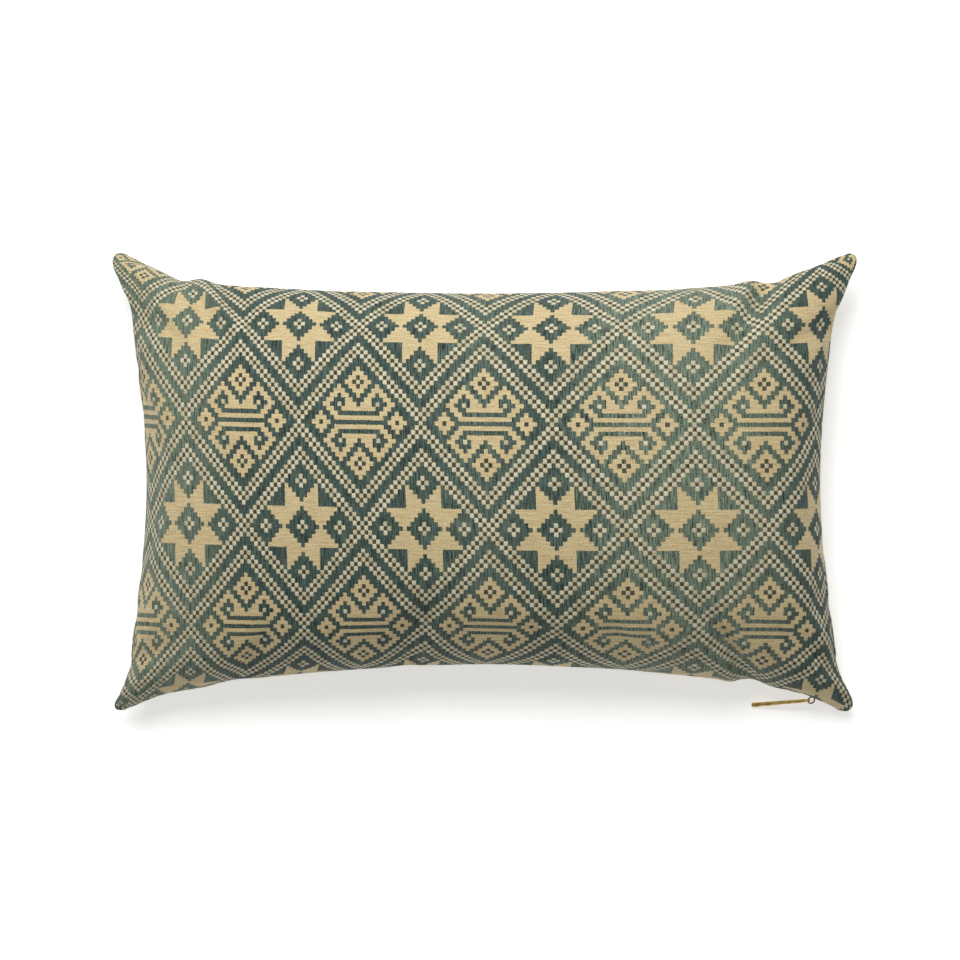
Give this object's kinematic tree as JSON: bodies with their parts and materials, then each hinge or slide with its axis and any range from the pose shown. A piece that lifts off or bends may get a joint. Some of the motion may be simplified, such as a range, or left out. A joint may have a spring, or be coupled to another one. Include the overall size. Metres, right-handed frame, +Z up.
{
  "type": "lumbar pillow",
  "caption": "Oblong lumbar pillow with drawn-in sides, soft ears at the corners and a brass bar zip pull, lying on its back.",
  "frame": {"origin": "on the floor, under the middle of the pillow's box", "axes": "+X along the pillow, +Y across it toward the long side away from the zip pull, +Z up out of its front face"},
  "size_m": [0.4996, 0.3076, 0.123],
  "materials": {
    "brocade": "matte woven brocade",
    "brass_bar": "brushed",
    "brass_ring": "aged"
  },
  "bodies": {
    "root": {"pillow": "brocade", "pull_bar": "brass_bar", "pull_ring": "brass_ring"}
  },
  "joints": []
}
